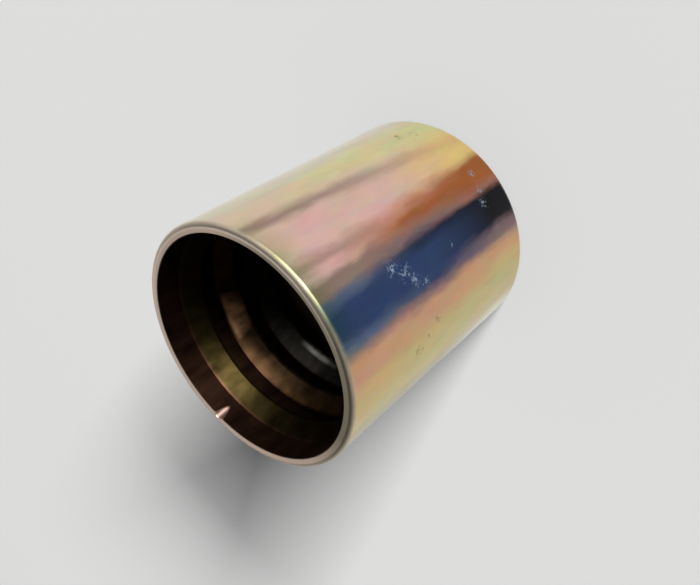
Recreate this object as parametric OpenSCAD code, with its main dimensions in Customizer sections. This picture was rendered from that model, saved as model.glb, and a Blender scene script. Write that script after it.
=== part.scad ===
// Crimp ferrule for a braided hydraulic hose: one turned steel shell.
// It stands on its collar end with the mouth up, and its axis is the Z axis.
// Sizes are in millimetres.

/* [Shell] */
// Outside diameter of the shell
body_d = 30; // [26:0.5:60]
// Length from the collar's end face to the mouth
body_l = 35; // [20:0.5:90]
// Wall behind the grooves and at the mouth
wall_t = 1.25; // [0.8:0.05:2.5]
// Rounding of the outer edge at the mouth
mouth_edge_r = 0.55; // [0.1:0.05:1.2]
// Rounding of the outer edge at the collar end
collar_edge_r = 0.9; // [0.1:0.05:2.5]
// Chamfer on the inner edge of the mouth
mouth_chamfer = 0.1; // [0.05:0.05:0.6]

/* [Grip teeth] */
// Plain lead-in from the mouth to the first tooth
lead_in_l = 3.2; // [1:0.1:12]
// Distance from one tooth to the next
tooth_pitch = 5.35; // [3.5:0.05:12]
// Height of a tooth above the groove
tooth_h = 1.2; // [0.3:0.05:2.4]
// Length of the ramp that faces the mouth
ramp_l = 2.4; // [0.6:0.1:4]
// Length of the flat crest
crest_l = 0.4; // [0.1:0.05:1.5]
// Length of the steep back that holds the hose
back_l = 0.25; // [0.05:0.05:1]
// Shortest plain groove between the last tooth and the collar
relief_l = 3; // [1:0.1:8]

/* [Collar] */
// Thickness of the collar that locks on the hose insert
collar_t = 3.5; // [2:0.1:8]
// Diameter of the hole through the collar
collar_hole_d = 20.5; // [8:0.1:23]
// Chamfer on both edges of the collar hole
hole_chamfer = 0.5; // [0.1:0.05:0.9]
// Fillet where the collar meets the socket wall
collar_fillet_r = 0.8; // [0.1:0.05:1.5]

/* [Rim nick] */
// Angle of the nick round the rim
nick_a = 223.5; // [0:0.5:360]
// Radius of the nick's hollow
nick_r = 0.8; // [0.2:0.05:2]
// Depth of the nick at the rim
nick_depth = 0.45; // [0.1:0.05:0.7]
// Length of the nick down the wall
nick_l = 1.9; // [0.5:0.1:3]

/* [Hidden] */

$fn = 128;
body_r = body_d / 2;
socket_r = body_r - wall_t;
crest_r = socket_r - tooth_h;
hole_r = collar_hole_d / 2;

// The outer edge at the mouth leaves part of the wall flat
mouth_round = min(mouth_edge_r, wall_t - mouth_chamfer - 0.1);

// As many whole teeth as the socket takes between the lead-in and the relief
tooth_l = ramp_l + crest_l + back_l;
tooth_room = body_l - collar_t - relief_l - lead_in_l - tooth_l;
tooth_count = max(1, floor(tooth_room / tooth_pitch) + 1);

// How far cutting shapes run past the faces that they cut
over = 1;

// What a rounding of radius r takes off a square corner that points to +X and +Y
module corner_cut(r) {
    translate([-r, -r])
        difference() {
            square(r + over);
            circle(r);
        }
}

// Half section of the turned blank, with its two outer edges rounded
module blank_section() {
    difference() {
        square([body_r, body_l]);
        translate([body_r, body_l])
            corner_cut(mouth_round);
        translate([body_r, 0])
            mirror([0, 1])
                corner_cut(collar_edge_r);
    }
}

// Half section of the plain socket, from the collar to the chamfered mouth
module socket_section() {
    difference() {
        translate([0, collar_t])
            square([socket_r, body_l - collar_t + over]);
        translate([socket_r, collar_t])
            mirror([0, 1])
                corner_cut(collar_fillet_r);
    }
    polygon([
        [0, body_l - mouth_chamfer],
        [socket_r, body_l - mouth_chamfer],
        [socket_r + mouth_chamfer + over, body_l + over],
        [0, body_l + over]
    ]);
}

// Half section of one tooth: its ramp starts at the top, and its root is in the wall
module tooth_section() {
    root_r = socket_r + wall_t / 2;
    polygon([
        [root_r, 0],
        [socket_r, 0],
        [crest_r, -ramp_l],
        [crest_r, -ramp_l - crest_l],
        [socket_r, -tooth_l],
        [root_r, -tooth_l]
    ]);
}

// Half section of the hole through the collar, chamfered at both ends
module hole_section() {
    wide_r = hole_r + hole_chamfer;
    polygon([
        [0, -over],
        [wide_r + over, -over],
        [hole_r, hole_chamfer],
        [hole_r, collar_t - hole_chamfer],
        [wide_r + over, collar_t + over],
        [0, collar_t + over]
    ]);
}

// Nick on the inner edge of the rim: a round hollow that runs out down the wall
module rim_nick() {
    slope = atan(nick_depth / nick_l);
    rotate([0, 0, nick_a])
        translate([socket_r - nick_r, 0, body_l - nick_l])
            rotate([0, slope, 0])
                cylinder(r = nick_r, h = nick_l + 2 * over);
}

module ferrule() {
    color("#c9b184")
        difference() {
            rotate_extrude()
                difference() {
                    union() {
                        difference() {
                            blank_section();
                            socket_section();
                        }
                        for (i = [0 : tooth_count - 1])
                            translate([0, body_l - lead_in_l - i * tooth_pitch])
                                tooth_section();
                    }
                    hole_section();
                }
            rim_nick();
        }
}

ferrule();
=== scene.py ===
# Crimp hose ferrule: the looks of one turned, zinc plated and yellow chromated steel shell
import math

import bpy
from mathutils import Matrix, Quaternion, Vector


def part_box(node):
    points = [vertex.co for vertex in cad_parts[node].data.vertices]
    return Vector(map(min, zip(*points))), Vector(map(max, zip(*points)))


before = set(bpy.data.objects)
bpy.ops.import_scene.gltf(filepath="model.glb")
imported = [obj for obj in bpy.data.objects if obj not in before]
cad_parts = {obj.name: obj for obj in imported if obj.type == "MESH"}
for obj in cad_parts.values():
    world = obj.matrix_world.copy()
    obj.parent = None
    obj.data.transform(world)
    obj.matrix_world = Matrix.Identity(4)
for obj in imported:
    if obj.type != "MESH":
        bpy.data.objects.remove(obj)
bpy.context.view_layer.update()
scene = bpy.context.scene
mm = 0.001                                   # the frame is in metres
print("frame loaded:", ", ".join(sorted(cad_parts)))

# Sizes that the finish follows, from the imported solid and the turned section
section = {"wall": 1.25, "toothHeight": 1.2}             # mm
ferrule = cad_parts["ferrule"]
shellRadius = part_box("ferrule")[1].x
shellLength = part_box("ferrule")[1].z
socketRadius = shellRadius - section["wall"] * mm        # in the grooves and at the mouth
crestRadius = socketRadius - section["toothHeight"] * mm

# A Mix node takes its share at socket 0, and two colours at 6 and 7 or two values at 2 and 3. A Map Range
# node takes its value at 0, the span that it reads at 1 and 2, and the span that it gives at 3 and 4.
ofColours = {"out": 2, "data_type": "RGBA"}
ofValues = {"data_type": "FLOAT"}


def linearColour(hexCode):
    channels = [int(hexCode[i:i + 2], 16) / 255 for i in (1, 3, 5)]
    linear = [c / 12.92 if c <= 0.04045 else ((c + 0.055) / 1.055) ** 2.4 for c in channels]
    return (*linear, 1.0)


def addNode(tree, kind, inputs=None, out=0, stops=(), **settings):
    node = tree.nodes.new(kind)
    for name, value in settings.items():
        setattr(node, name, value)
    for socket, source in (inputs or {}).items():
        if isinstance(source, bpy.types.NodeSocket):
            tree.links.new(source, node.inputs[socket])
        else:
            node.inputs[socket].default_value = source
    for index, (place, colour) in enumerate(stops):
        elements = node.color_ramp.elements
        element = elements[index] if index < 2 else elements.new(place)
        element.position, element.color = place, colour
    return node.outputs[out]


# 1 in a sector round the axis, given by its middle angle, where it is full and where it ends, in degrees
def inSector(tree, angle, sector):
    off = addNode(tree, "ShaderNodeMath", {0: angle, 1: math.radians(sector["angle"])}, operation="SUBTRACT")
    away = addNode(tree, "ShaderNodeMath", {0: off}, operation="ABSOLUTE")
    ends, full = math.radians(sector["width"]), math.radians(sector["full"])
    return addNode(tree, "ShaderNodeMapRange", {0: away, 1: ends, 2: full})


# 1 near a point on the wall or inwards of it, with its depth as a share of the length; core is the share
# of the size that is full
def nearPoint(tree, place, angle, depth, size, core=0.0, inwards=0.0):
    turn = math.radians(angle)
    radius = shellRadius - inwards * mm
    point = (math.sin(turn) * radius, math.cos(turn) * radius, shellLength * (1 - depth))
    off = addNode(tree, "ShaderNodeVectorMath", {0: place, 1: point}, out="Value", operation="DISTANCE")
    return addNode(tree, "ShaderNodeMapRange", {0: off, 1: size * mm, 2: size * core * mm})


def heading(azimuth, elevation):
    turn, tilt = math.radians(azimuth), math.radians(elevation)
    return Vector((math.cos(tilt) * math.cos(turn), math.cos(tilt) * math.sin(turn), math.sin(tilt)))


# Yellow chromate on bright zinc: a glossy film of uneven thickness in straw, lemon, rose and rust. Its bands
# are partly the film's own colours and partly painted reflections, the dark blue and rust stripes most of
# all.
# Angles run from +Y towards +X in degrees, and depths from the mouth as a share of the length.
chromate = {
    "tints": {
        "pearl": "#f4eddd", "straw": "#e4d6b6", "peach": "#ebcfb4", "lemon": "#e9dd9d",
        "gold": "#f7d48b", "rose": "#efc5b9", "mauve": "#bb948b", "dove": "#9f8379",
        "copper": "#d79b81", "rust": "#b06535", "umber": "#ab7964", "plum": "#887074",
        "slate": "#64708a", "navy": "#36486f", "ink": "#263045", "soot": "#18171c",
        "salmon": "#d7a681", "ochre": "#dab87f", "olive": "#d0c084", "drab": "#96885f",
        "sage": "#d2f0cc",
    },
    # bands of film colour and painted reflection: angle round the wall, then the tint near the mouth, midway
    # and near the collar
    "bands": [
        (-12, "pearl", "pearl", "pearl"), (4, "straw", "straw", "straw"),
        (18, "peach", "lemon", "lemon"), (30, "peach", "peach", "lemon"),
        (37, "rose", "rose", "gold"), (49, "rose", "rose", "gold"),
        (54, "mauve", "copper", "rust"), (58.5, "rose", "rust", "rust"),
        (62, "dove", "umber", "rust"), (66, "dove", "plum", "umber"),
        (69.5, "slate", "ink", "soot"), (74, "navy", "navy", "soot"),
        (83.5, "navy", "navy", "soot"), (88, "slate", "navy", "plum"),
        (91, "dove", "plum", "plum"), (95, "salmon", "salmon", "salmon"),
        (101, "salmon", "salmon", "ochre"), (110, "ochre", "olive", "olive"),
        (124, "olive", "olive", "olive"), (138, "drab", "drab", "pearl"),
        (180, "gold", "ochre", "lemon"), (208, "rose", "rose", "rose"),
        (224, "copper", "mauve", "copper"), (233, "rust", "umber", "rust"),
        (238, "plum", "ink", "slate"), (250, "slate", "navy", "navy"),
        (259, "plum", "slate", "plum"), (266, "mauve", "copper", "mauve"),
        (284, "gold", "salmon", "rose"), (310, "lemon", "gold", "ochre"),
        (332, "straw", "lemon", "lemon"),
    ],
    "changes": ((0.14, 0.46), (0.5, 0.86)),  # depths over which one row of tints gives way to the next
    # a streak of film colour and painted reflection; angles at the mouth and at the collar; it fades from a
    # depth on, to a share that is left at the collar
    "streak": {"tint": "dove", "angles": (27.5, 39), "width": 6, "strength": 0.85, "fading": (0.2, 0.1)},
    # painted shade: darker and greener near the mouth in one sector
    "mouthEdge": {"tint": "sage", "reach": 4.2, "angle": 60, "full": 17, "width": 42},      # reach in mm
    "stretch": 0.35,                         # the unevenness is drawn out along the axis
    # mm between waves, degrees from end to end of the noise, which keeps near its middle
    "wander": [{"spacing": 9.0, "swing": 5.6, "detail": 3.0}, {"spacing": 1.3, "swing": 6.0, "detail": 3.0}],
    "mottle": {"spacing": 1.6, "spread": 0.42, "detail": 4.0},   # mm between patches, share of brightness
    "roughness": (0.16, 0.25),
}


def readPlace(tree):
    place = addNode(tree, "ShaderNodeTexCoord", out="Object")
    axisX, axisY, axisZ = [addNode(tree, "ShaderNodeSeparateXYZ", {0: place}, out=axis) for axis in "XYZ"]
    depth = addNode(tree, "ShaderNodeMath", {0: axisZ, 1: -1 / shellLength, 2: 1.0},
                    operation="MULTIPLY_ADD")
    flat = addNode(tree, "ShaderNodeVectorMath", {0: place, 1: (1, 1, 0)}, operation="MULTIPLY")
    radius = addNode(tree, "ShaderNodeVectorMath", {0: flat}, out="Value", operation="LENGTH")
    drawnOut = addNode(tree, "ShaderNodeVectorMath", {0: place, 1: (1, 1, chromate["stretch"])},
                       operation="MULTIPLY")

    # angle round the wall in radians, with a slow and a quick wander
    angle = addNode(tree, "ShaderNodeMath", {0: axisX, 1: axisY}, operation="ARCTAN2")
    for wave in chromate["wander"]:
        noise = addNode(tree, "ShaderNodeTexNoise",
                        {"Vector": drawnOut, "Scale": 1 / (wave["spacing"] * mm), "Detail": wave["detail"]})
        swing = math.radians(wave["swing"])
        moved = addNode(tree, "ShaderNodeMath", {0: noise, 1: swing, 2: -swing / 2},
                        operation="MULTIPLY_ADD")
        angle = addNode(tree, "ShaderNodeMath", {0: angle, 1: moved}, operation="ADD")

    # small patches, as one value and as a value for each channel
    mottle = chromate["mottle"]
    grain = {"Vector": drawnOut, "Scale": 1 / (mottle["spacing"] * mm), "Detail": mottle["detail"]}
    patches = addNode(tree, "ShaderNodeTexNoise", grain)
    hues = addNode(tree, "ShaderNodeTexNoise", grain, out="Color")
    return {"place": place, "depth": depth, "radius": radius, "angle": angle,
            "patches": patches, "hues": hues}


def makeWallFilmAndReflections(tree, where):
    tints = {name: linearColour(code) for name, code in chromate["tints"].items()}

    # the bands of film colour and painted reflection at three depths, each blended into the next
    share = addNode(tree, "ShaderNodeMath", {0: where["angle"], 1: 1 / math.tau, 2: 0.5},
                    operation="MULTIPLY_ADD")
    rows = []
    for row in (1, 2, 3):
        stops = sorted((((band[0] + 180) % 360) / 360, tints[band[row]]) for band in chromate["bands"])
        stops.append((1.0, stops[0][1]))     # the ramp closes on itself at the back
        rows.append(addNode(tree, "ShaderNodeValToRGB", {0: share}, stops=stops))
    filmAndPaintedLight = rows[0]
    for (start, end), row in zip(chromate["changes"], rows[1:]):
        given = addNode(tree, "ShaderNodeMapRange", {0: where["depth"], 1: start, 2: end})
        filmAndPaintedLight = addNode(tree, "ShaderNodeMix", {0: given, 6: filmAndPaintedLight, 7: row}, **ofColours)

    # one soft streak, partly film colour and partly painted reflection, that drifts round the wall on its way
    # down
    streak = chromate["streak"]
    mouthAngle, collarAngle = [math.radians(angle) for angle in streak["angles"]]
    drift = addNode(tree, "ShaderNodeMapRange", {0: where["depth"], 3: mouthAngle, 4: collarAngle})
    gap = addNode(tree, "ShaderNodeMath", {0: where["angle"], 1: drift}, operation="SUBTRACT")
    away = addNode(tree, "ShaderNodeMath", {0: gap}, operation="ABSOLUTE")
    onStreak = addNode(tree, "ShaderNodeMapRange",
                       {0: away, 1: math.radians(streak["width"]), 2: 0.0, 4: streak["strength"]},
                       interpolation_type="SMOOTHSTEP")
    fadeStart, left = streak["fading"]
    fading = addNode(tree, "ShaderNodeMapRange", {0: where["depth"], 1: fadeStart, 2: 1.0, 3: 1.0, 4: left})
    onStreak = addNode(tree, "ShaderNodeMath", {0: onStreak, 1: fading}, operation="MULTIPLY")
    filmAndPaintedLight = addNode(tree, "ShaderNodeMix", {0: onStreak, 6: filmAndPaintedLight, 7: tints[streak["tint"]]}, **ofColours)

    # painted shade: the wall turns darker and greener where it turns over at the mouth, in one sector
    edge = chromate["mouthEdge"]
    reach = edge["reach"] * mm / shellLength
    atMouth = addNode(tree, "ShaderNodeMapRange", {0: where["depth"], 1: reach, 2: 0.0},
                      interpolation_type="SMOOTHSTEP")
    onShadedSide = inSector(tree, where["angle"], edge)
    onEdge = addNode(tree, "ShaderNodeMath", {0: atMouth, 1: onShadedSide}, operation="MULTIPLY")
    filmAndPaintedLight = addNode(tree, "ShaderNodeMix", {0: onEdge, 6: filmAndPaintedLight, 7: tints[edge["tint"]]},
                   blend_type="MULTIPLY", **ofColours)

    # uneven colour in small patches, each channel by itself as in a thin film
    spread = chromate["mottle"]["spread"]
    shade = addNode(tree, "ShaderNodeVectorMath",
                    {0: where["hues"], 1: (spread,) * 3, 2: (1 - spread / 2,) * 3}, operation="MULTIPLY_ADD")
    filmAndPaintedLight = addNode(tree, "ShaderNodeVectorMath", {0: filmAndPaintedLight, 1: shade}, operation="MULTIPLY")
    least, most = chromate["roughness"]
    rough = addNode(tree, "ShaderNodeMapRange", {0: where["patches"], 3: least, 4: most})
    return filmAndPaintedLight, rough


# Handling marks on the film, broken up into specks
scuffs = {
    "lift": 0.22,                            # how far nearness to a spot's middle raises the grain
    "detail": 2.0, "grainRoughness": 0.6, "roughness": 0.45,
    # grain in mm, the levels of the grain where a speck starts and is whole; spots: angle, depth, size in mm
    "kinds": [
        {"tint": "#8c9bb0", "grain": 0.34, "levels": (0.63, 0.75),
         "spots": [(73, 0.31, 1.5), (77, 0.35, 1.7), (82, 0.38, 1.4), (86, 0.42, 1.0), (79, 0.6, 0.8),
                   (73, 0.84, 1.1), (67, 0.86, 1.0), (59, 0.88, 1.2), (250, 0.3, 1.6), (243, 0.62, 1.2)]},
        {"tint": "#a2916a", "grain": 0.5, "levels": (0.6, 0.72),
         "spots": [(104, 0.44, 1.1), (112, 0.33, 1.3), (108, 0.38, 0.9), (20, 0.82, 1.2), (24, 0.88, 1.0),
                   (180, 0.4, 1.3), (300, 0.7, 1.5)]},
    ],
}


def addScuffs(tree, where, filmAndPaintedLight, rough):
    for kind in scuffs["kinds"]:
        grain = addNode(tree, "ShaderNodeTexNoise",
                        {"Vector": where["place"], "Scale": 1 / (kind["grain"] * mm),
                         "Detail": scuffs["detail"], "Roughness": scuffs["grainRoughness"]})
        near = 0.0
        for angle, depth, size in kind["spots"]:
            spot = nearPoint(tree, where["place"], angle, depth, size)
            near = addNode(tree, "ShaderNodeMath", {0: near, 1: spot}, operation="MAXIMUM")
        raised = addNode(tree, "ShaderNodeMath", {0: near, 1: scuffs["lift"], 2: grain},
                         operation="MULTIPLY_ADD")
        start, whole = kind["levels"]
        speck = addNode(tree, "ShaderNodeMapRange", {0: raised, 1: start, 2: whole})
        speck = addNode(tree, "ShaderNodeMath", {0: speck, 1: near}, operation="MULTIPLY", use_clamp=True)
        filmAndPaintedLight = addNode(tree, "ShaderNodeMix", {0: speck, 6: filmAndPaintedLight, 7: linearColour(kind["tint"])},
                       **ofColours)
        rough = addNode(tree, "ShaderNodeMix", {0: speck, 2: rough, 3: scuffs["roughness"]}, **ofValues)
    return filmAndPaintedLight, rough


# The rim and its rounded outer edge have a greyer, duller film than the wall, with painted shade on one side
# and a painted highlight along the outside of the rim on the other; the nick in the rim has a darker, dull
# pink tint
rim = {
    "tint": "#dcc5b2", "roughness": 0.36,
    "starts": (0.1, 0.5),                    # mm in from the outside, where its tint starts and is full
    # painted shade on one side of the rim and a painted highlight along its outside on the other
    "paintedShade": {"tint": "#8d8570", "angle": 86, "full": 45, "width": 75},
    "paintedHighlight": {"tint": "#ffecd8", "starts": (0.85, 0.5), "angle": 0, "full": 55, "width": 92},
    # depths where it starts and is full; tints away from and on the side that is painted darker and greener
    # as shade, to dim the lamp's highlight there
    "edge": {"tints": ("#cfc3af", "#565b3f"), "depths": (0.02, 0.006), "strength": 0.85, "roughness": 0.6},
    # inwards and size in mm
    "nick": {"tint": "#766059", "roughness": 0.5, "angle": -133.5, "depth": 0.0286, "inwards": 1.15,
             "size": 1.1, "core": 0.85},
}


def addRim(tree, where, filmAndPaintedLight, rough):
    # the rounded edge is painted darker and greener as shade on one side
    edge = rim["edge"]
    start, full = edge["depths"]
    onEdge = addNode(tree, "ShaderNodeMapRange", {0: where["depth"], 1: start, 2: full, 4: edge["strength"]})
    onShadedSide = inSector(tree, where["angle"], chromate["mouthEdge"])
    plain, paintedShadeGreen = [linearColour(code) for code in edge["tints"]]
    edgeFilmAndShade = addNode(tree, "ShaderNodeMix", {0: onShadedSide, 6: plain, 7: paintedShadeGreen}, **ofColours)
    filmAndPaintedLight = addNode(tree, "ShaderNodeMix", {0: onEdge, 6: filmAndPaintedLight, 7: edgeFilmAndShade}, **ofColours)
    rough = addNode(tree, "ShaderNodeMix", {0: onEdge, 2: rough, 3: edge["roughness"]}, **ofValues)

    # the flat rim, with painted shade on one side and a painted highlight along the outside on the other
    start, full = [shellRadius - inwards * mm for inwards in rim["starts"]]
    onRim = addNode(tree, "ShaderNodeMapRange", {0: where["radius"], 1: start, 2: full})
    inShade = inSector(tree, where["angle"], rim["paintedShade"])
    plain, paintedShade = linearColour(rim["tint"]), linearColour(rim["paintedShade"]["tint"])
    rimFilmAndPaintedLight = addNode(tree, "ShaderNodeMix", {0: inShade, 6: plain, 7: paintedShade}, **ofColours)
    start, full = [shellRadius - inwards * mm for inwards in rim["paintedHighlight"]["starts"]]
    outer = addNode(tree, "ShaderNodeMapRange", {0: where["radius"], 1: start, 2: full})
    facing = inSector(tree, where["angle"], rim["paintedHighlight"])
    onPaintedHighlight = addNode(tree, "ShaderNodeMath", {0: outer, 1: facing}, operation="MULTIPLY")
    paintedHighlightTint = linearColour(rim["paintedHighlight"]["tint"])
    rimFilmAndPaintedLight = addNode(tree, "ShaderNodeMix", {0: onPaintedHighlight, 6: rimFilmAndPaintedLight, 7: paintedHighlightTint}, **ofColours)
    filmAndPaintedLight = addNode(tree, "ShaderNodeMix", {0: onRim, 6: filmAndPaintedLight, 7: rimFilmAndPaintedLight}, **ofColours)
    rough = addNode(tree, "ShaderNodeMix", {0: onRim, 2: rough, 3: rim["roughness"]}, **ofValues)

    # the nick: a darker, dull pink tint and a rougher finish
    nick = rim["nick"]
    inNick = nearPoint(tree, where["place"], nick["angle"], nick["depth"], nick["size"], nick["core"],
                       nick["inwards"])
    filmAndPaintedLight = addNode(tree, "ShaderNodeMix", {0: inNick, 6: filmAndPaintedLight, 7: linearColour(nick["tint"])}, **ofColours)
    rough = addNode(tree, "ShaderNodeMix", {0: inNick, 2: rough, 3: nick["roughness"]}, **ofValues)
    return filmAndPaintedLight, rough


# Inside, the grooves are dark brown and the teeth olive near the mouth and tan deeper in: partly a duller
# film, partly painted shade
bore = {
    "starts": (0.12, 0.02),                  # mm outside the socket's radius, where it starts and is full
    "groove": {"tint": "#312017", "roughness": 0.44},
    # mm inside the socket's radius where a tooth starts and is full; tint by depth, darkened as painted
    # shade; roughness by depth
    "teeth": {"starts": (0.02, 0.2), "roughness": (0.45, 0.58), "roughnessDepths": (0.18, 0.24),
              "tints": [(0.17, "#201a0b"), (0.24, "#533c25"), (0.32, "#4b3a2a"), (0.39, "#4c4842")]},
    # painted glints: places where a tooth is painted bright as a glint of light; size in mm, height is how
    # many mm from the crest towards the groove the glint reaches, and fade the mm over which it sets in
    "worn": [
        {"tint": "#fbf6ee", "roughness": 0.36, "angle": -143, "depth": 0.46, "size": 4.2, "core": 0.5,
         "height": 0.35, "fade": 0.2},
        {"tint": "#f6c290", "roughness": 0.58, "angle": -93, "depth": 0.265, "size": 4.0, "core": 0.5,
         "height": 1.1, "fade": 0.2},
    ],
    "blotch": {"patches": (0.3, 0.7), "brightness": (0.45, 1.5)},
    # past the third tooth the film is paler, without the painted shade nearer the mouth, so that the last
    # teeth and the collar can be made out
    "deep": {"groove": "#76592f", "tooth": "#f0dfb0", "depths": (0.53, 0.62), "roughness": 0.6},
}


def addBore(tree, where, filmAndPaintedLight, rough):
    # the grooves and teeth nearer the mouth: a duller film darkened further as painted shade
    teeth, groove = bore["teeth"], bore["groove"]
    start, full = [socketRadius - inwards * mm for inwards in teeth["starts"]]
    onTooth = addNode(tree, "ShaderNodeMapRange", {0: where["radius"], 1: start, 2: full})
    toothFilmAndShade = addNode(tree, "ShaderNodeValToRGB", {0: where["depth"]},
                        stops=[(depth, linearColour(code)) for depth, code in teeth["tints"]])
    boreFilmAndPaintedLight = addNode(tree, "ShaderNodeMix", {0: onTooth, 6: linearColour(groove["tint"]), 7: toothFilmAndShade},
                       **ofColours)
    start, end = teeth["roughnessDepths"]
    first, later = teeth["roughness"]
    toothRough = addNode(tree, "ShaderNodeMapRange",
                         {0: where["depth"], 1: start, 2: end, 3: first, 4: later})
    boreRough = addNode(tree, "ShaderNodeMix", {0: onTooth, 2: groove["roughness"], 3: toothRough},
                        **ofValues)

    # painted glints on the teeth
    for worn in bore["worn"]:
        near = nearPoint(tree, where["place"], worn["angle"], worn["depth"], worn["size"], worn["core"])
        top = crestRadius + worn["height"] * mm
        low = addNode(tree, "ShaderNodeMapRange", {0: where["radius"], 1: top, 2: top - worn["fade"] * mm})
        onPaintedGlint = addNode(tree, "ShaderNodeMath", {0: near, 1: low}, operation="MULTIPLY")
        boreFilmAndPaintedLight = addNode(tree, "ShaderNodeMix", {0: onPaintedGlint, 6: boreFilmAndPaintedLight, 7: linearColour(worn["tint"])},
                           **ofColours)
        boreRough = addNode(tree, "ShaderNodeMix", {0: onPaintedGlint, 2: boreRough, 3: worn["roughness"]},
                            **ofValues)

    thin, thick = bore["blotch"]["patches"]
    dark, light = bore["blotch"]["brightness"]
    blotch = addNode(tree, "ShaderNodeMapRange", {0: where["patches"], 1: thin, 2: thick, 3: dark, 4: light})
    boreFilmAndPaintedLight = addNode(tree, "ShaderNodeVectorMath", {0: boreFilmAndPaintedLight, "Scale": blotch}, operation="SCALE")

    deep = bore["deep"]
    start, end = deep["depths"]
    inDeep = addNode(tree, "ShaderNodeMapRange", {0: where["depth"], 1: start, 2: end})
    deepGroove, deepTooth = linearColour(deep["groove"]), linearColour(deep["tooth"])
    deepFilm = addNode(tree, "ShaderNodeMix", {0: onTooth, 6: deepGroove, 7: deepTooth}, **ofColours)
    boreFilmAndPaintedLight = addNode(tree, "ShaderNodeMix", {0: inDeep, 6: boreFilmAndPaintedLight, 7: deepFilm}, **ofColours)
    boreRough = addNode(tree, "ShaderNodeMix", {0: inDeep, 2: boreRough, 3: deep["roughness"]}, **ofValues)

    start, full = [socketRadius + outwards * mm for outwards in bore["starts"]]
    inBore = addNode(tree, "ShaderNodeMapRange", {0: where["radius"], 1: start, 2: full})
    filmAndPaintedLight = addNode(tree, "ShaderNodeMix", {0: inBore, 6: filmAndPaintedLight, 7: boreFilmAndPaintedLight}, **ofColours)
    rough = addNode(tree, "ShaderNodeMix", {0: inBore, 2: rough, 3: boreRough}, **ofValues)
    return filmAndPaintedLight, rough


# Fine rings left by the turning tool, pitch and depth in mm; the real feed is finer, drawn coarser to show
turning = {"pitch": 0.35, "depth": 0.0012, "distortion": 0.4, "strength": 0.5}
waveFactor = 20                              # a Wave texture's scale of 1 is this many radians in a metre


def makeChromate():
    material = bpy.data.materials.new("YellowChromateOnTurnedSteel")
    material.use_nodes = True
    tree = material.node_tree
    tree.nodes.clear()
    where = readPlace(tree)
    filmAndPaintedLight, rough = makeWallFilmAndReflections(tree, where)
    for addLayer in (addScuffs, addRim, addBore):
        filmAndPaintedLight, rough = addLayer(tree, where, filmAndPaintedLight, rough)
    rings = addNode(tree, "ShaderNodeTexWave",
                    {"Vector": where["place"], "Scale": math.tau / (waveFactor * turning["pitch"] * mm),
                     "Distortion": turning["distortion"]}, out="Fac", bands_direction="Z")
    bump = addNode(tree, "ShaderNodeBump",
                   {"Height": rings, "Strength": turning["strength"], "Distance": turning["depth"] * mm})
    shader = addNode(tree, "ShaderNodeBsdfPrincipled",
                     {"Base Color": filmAndPaintedLight, "Metallic": 1.0, "Roughness": rough, "Normal": bump})
    tree.links.new(shader, tree.nodes.new("ShaderNodeOutputMaterial").inputs["Surface"])
    return material


ferrule.data.materials.clear()
ferrule.data.materials.append(makeChromate())
print("finish on:", ferrule.name, len(ferrule.data.polygons), "faces")

# Plain pale floor under the collar end: painted matt board, so no reflection shows in it
floorLook = {"halfSide": 5000, "colour": "#e9e9e8", "roughness": 0.9, "specular": 0.0}   # half its side in mm


def makeFloor():
    half = floorLook["halfSide"] * mm
    corners = [(-half, -half, 0), (half, -half, 0), (half, half, 0), (-half, half, 0)]
    mesh = bpy.data.meshes.new("floor")
    mesh.from_pydata(corners, [], [(0, 1, 2, 3)])
    floor = bpy.data.objects.new("floor", mesh)
    scene.collection.objects.link(floor)
    material = bpy.data.materials.new("PaleMattBoard")
    material.use_nodes = True
    shader = material.node_tree.nodes["Principled BSDF"]
    shader.inputs["Base Color"].default_value = linearColour(floorLook["colour"])
    shader.inputs["Roughness"].default_value = floorLook["roughness"]
    shader.inputs["Specular IOR Level"].default_value = floorLook["specular"]
    mesh.materials.append(material)
    return floor


floor = makeFloor()
print("floor in place")

# Soft studio light: a low soft box behind the camera gives the glints in the bore, a smaller one at its side
# widens them, a weak panel across from it lights the rim, and a wider box gives the floor its soft shadow.
# Azimuth from +X towards +Y and elevation in degrees, distance and size in mm, power in watts
lamps = {
    "softBox": {"lights": "ferrule", "azimuth": 38.2, "elevation": 16, "distance": 30000,
                "size": (8800, 5600), "power": 21400.0},
    "sideBox": {"lights": "ferrule", "azimuth": 57, "elevation": 27, "distance": 12000,
                "size": (4800, 4000), "power": 460.0},
    "panel": {"lights": "ferrule", "azimuth": 204, "elevation": 42, "distance": 500,
              "size": (220, 220), "power": 0.115},
    "floorBox": {"lights": "floor", "azimuth": 37.5, "elevation": 14, "distance": 30000,
                 "size": (12700, 6300), "power": 30800.0},
}


def makeLamps(lit):
    for name, setup in lamps.items():
        lamp = bpy.data.lights.new(name, "AREA")
        lamp.shape = "RECTANGLE"
        lamp.size, lamp.size_y = [side * mm for side in setup["size"]]
        lamp.energy = setup["power"]
        box = bpy.data.objects.new(name, lamp)
        towards = heading(setup["azimuth"], setup["elevation"])
        box.location = towards * setup["distance"] * mm
        box.rotation_euler = towards.to_track_quat("Z", "Y").to_euler()
        scene.collection.objects.link(box)
        receivers = bpy.data.collections.new(name + "Lights")    # a lamp lights the ferrule or the floor
        receivers.objects.link(lit[setup["lights"]])
        box.light_linking.receiver_collection = receivers


makeLamps({"ferrule": ferrule, "floor": floor})

# A plain room, paler beyond the ferrule and dim behind the camera, with a patch of pale ceiling
room = {
    "colour": "#f4f4f6", "backdrop": 0.78,
    "paleAzimuth": 204, "pale": 0.39, "dim": 0.04,
    "turn": 0.8,                             # how sharply the walls turn from pale to dim, 1 is evenly
    # heights from 0 at the horizon to 1 overhead, where the walls end and where the ceiling's patch starts
    "wallHeights": (0.25, 0.7), "overhead": 0.1, "ceilingHeights": (0.93, 0.97), "ceiling": 0.25,
}


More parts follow.
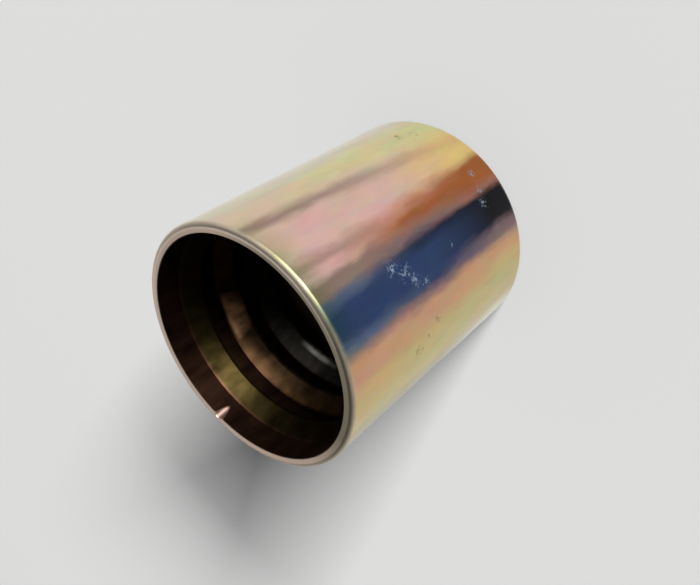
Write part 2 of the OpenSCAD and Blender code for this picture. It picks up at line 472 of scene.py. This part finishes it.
def makeRoom():
    world = bpy.data.worlds.new("paleRoom")
    world.use_nodes = True
    tree = world.node_tree
    direction = addNode(tree, "ShaderNodeTexCoord", out="Generated")
    rise = addNode(tree, "ShaderNodeSeparateXYZ", {0: direction}, out="Z")
    facing = addNode(tree, "ShaderNodeVectorMath", {0: direction, 1: heading(room["paleAzimuth"], 0)},
                     out="Value", operation="DOT_PRODUCT")
    walls = addNode(tree, "ShaderNodeMapRange",
                    {0: facing, 1: -room["turn"], 2: room["turn"], 3: room["dim"], 4: room["pale"]})
    start, end = room["wallHeights"]
    upper = addNode(tree, "ShaderNodeMapRange", {0: rise, 1: start, 2: end, 3: 1.0, 4: room["overhead"]})
    lit = addNode(tree, "ShaderNodeMath", {0: walls, 1: upper}, operation="MULTIPLY")
    start, full = room["ceilingHeights"]
    ceiling = addNode(tree, "ShaderNodeMapRange", {0: rise, 1: start, 2: full, 4: room["ceiling"]})
    lit = addNode(tree, "ShaderNodeMath", {0: lit, 1: ceiling}, operation="ADD")
    seen = addNode(tree, "ShaderNodeLightPath", out="Is Camera Ray")
    strength = addNode(tree, "ShaderNodeMix", {0: seen, 2: lit, 3: room["backdrop"]}, **ofValues)
    shader = tree.nodes["Background"]
    shader.inputs["Color"].default_value = linearColour(room["colour"])
    tree.links.new(strength, shader.inputs["Strength"])
    scene.world = world


makeRoom()
scene.view_settings.view_transform = "Standard"
scene.cycles.caustics_reflective = False     # no glints thrown on the floor
print("lamps and room in place")

# Camera at the photograph's angle: it looks down into the mouth and is rolled so that the axis runs
# up to the right
view = {
    "place": (64.5, 28.4, 78.5),             # mm, from the centre of the collar face
    "look": (-0.68658, -0.32013, -0.65278), "roll": -125.54,
    "lens": 39.07, "sensor": 36.0, "clip": (1, 20000),   # mm
}


def makeCamera():
    data = bpy.data.cameras.new("photoCamera")
    data.sensor_fit = "HORIZONTAL"
    data.sensor_width, data.lens = view["sensor"], view["lens"]
    data.clip_start, data.clip_end = [reach * mm for reach in view["clip"]]
    camera = bpy.data.objects.new("photoCamera", data)
    camera.location = Vector(view["place"]) * mm
    level = Vector(view["look"]).to_track_quat("-Z", "Y")
    camera.rotation_mode = "QUATERNION"
    camera.rotation_quaternion = level @ Quaternion((0, 0, 1), math.radians(view["roll"]))
    scene.collection.objects.link(camera)
    scene.camera = camera


makeCamera()
print("camera in place")
